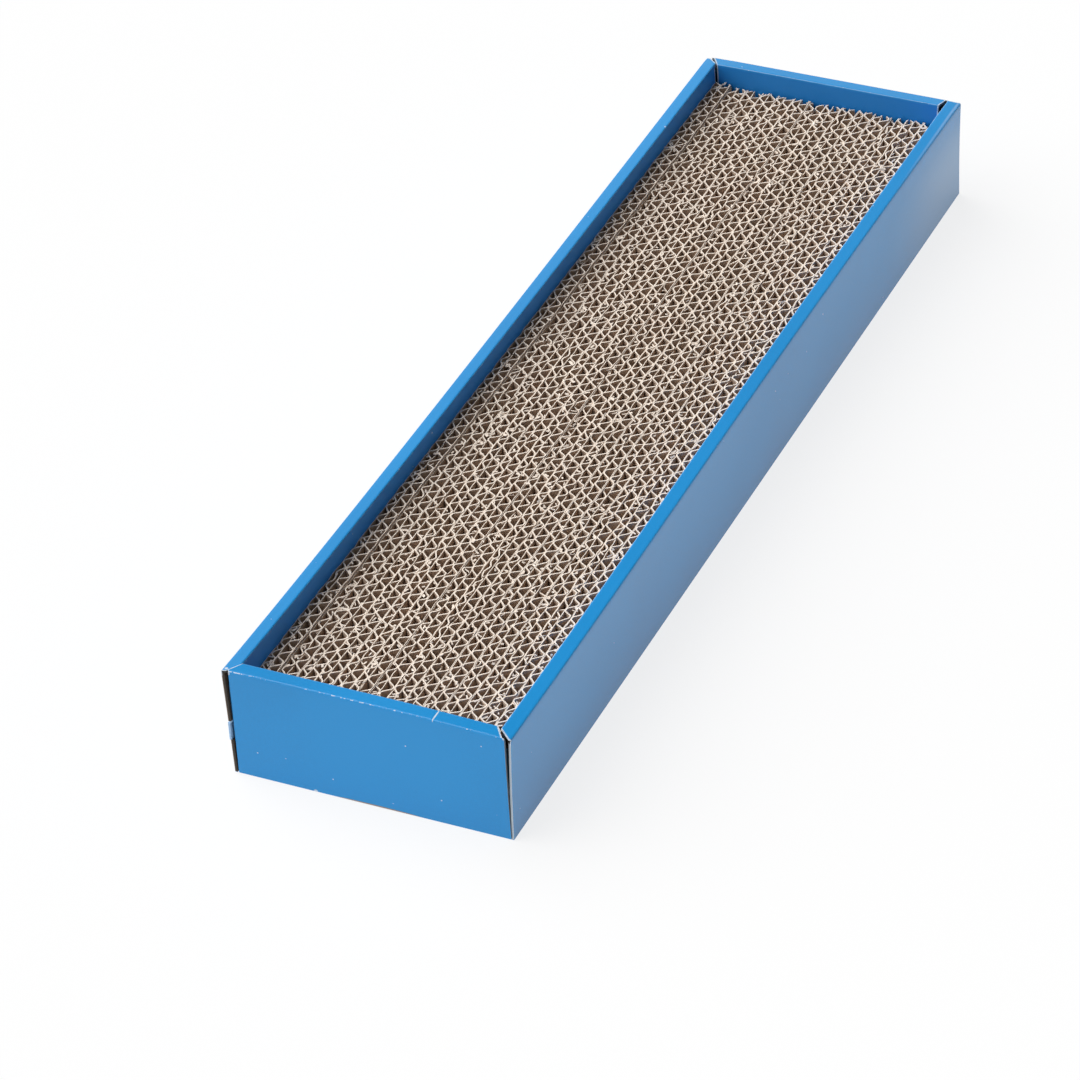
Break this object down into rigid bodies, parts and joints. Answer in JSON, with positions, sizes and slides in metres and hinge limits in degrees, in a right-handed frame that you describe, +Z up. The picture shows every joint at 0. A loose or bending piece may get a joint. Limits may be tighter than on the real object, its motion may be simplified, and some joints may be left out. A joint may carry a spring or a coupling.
{
  "type": "cardboard cat scratcher",
  "caption": "Long low blue cardboard tray with rolled-over walls, holding a lift-out block of corrugated board strips on edge that a cat scratches.",
  "frame": {"origin": "middle of the tray's underside, on the surface that it stands on", "axes": "+Z up, +Y along the tray from the front end wall to the rear one, +X to the right"},
  "size_m": [0.12, 0.485, 0.048],
  "materials": {
    "printed_board": "blue print with a soft gloss, pale raw edges and worn creases",
    "corrugated_board": "bare brown kraft paper with pale, rough cut edges"
  },
  "bodies": {
    "tray": {"base_panel": "printed_board", "side_wall_left": "printed_board", "side_wall_right": "printed_board", "end_wall_front": "printed_board", "end_wall_rear": "printed_board", "corner_flap_front_left": "printed_board", "corner_flap_front_right": "printed_board", "corner_flap_rear_left": "printed_board", "corner_flap_rear_right": "printed_board"},
    "insert": {"corrugated_strip_01": "corrugated_board", "corrugated_strip_02": "corrugated_board", "corrugated_strip_03": "corrugated_board", "corrugated_strip_04": "corrugated_board", "corrugated_strip_05": "corrugated_board", "corrugated_strip_06": "corrugated_board", "corrugated_strip_07": "corrugated_board", "corrugated_strip_08": "corrugated_board", "corrugated_strip_09": "corrugated_board", "corrugated_strip_10": "corrugated_board", "corrugated_strip_11": "corrugated_board", "corrugated_strip_12": "corrugated_board", "corrugated_strip_13": "corrugated_board", "corrugated_strip_14": "corrugated_board"}
  },
  "joints": [
    {"name": "insert_lift", "type": "slide", "parent": "tray", "child": "insert", "axis": [0, 0, 1], "range_m": [0, 0.05]}
  ]
}
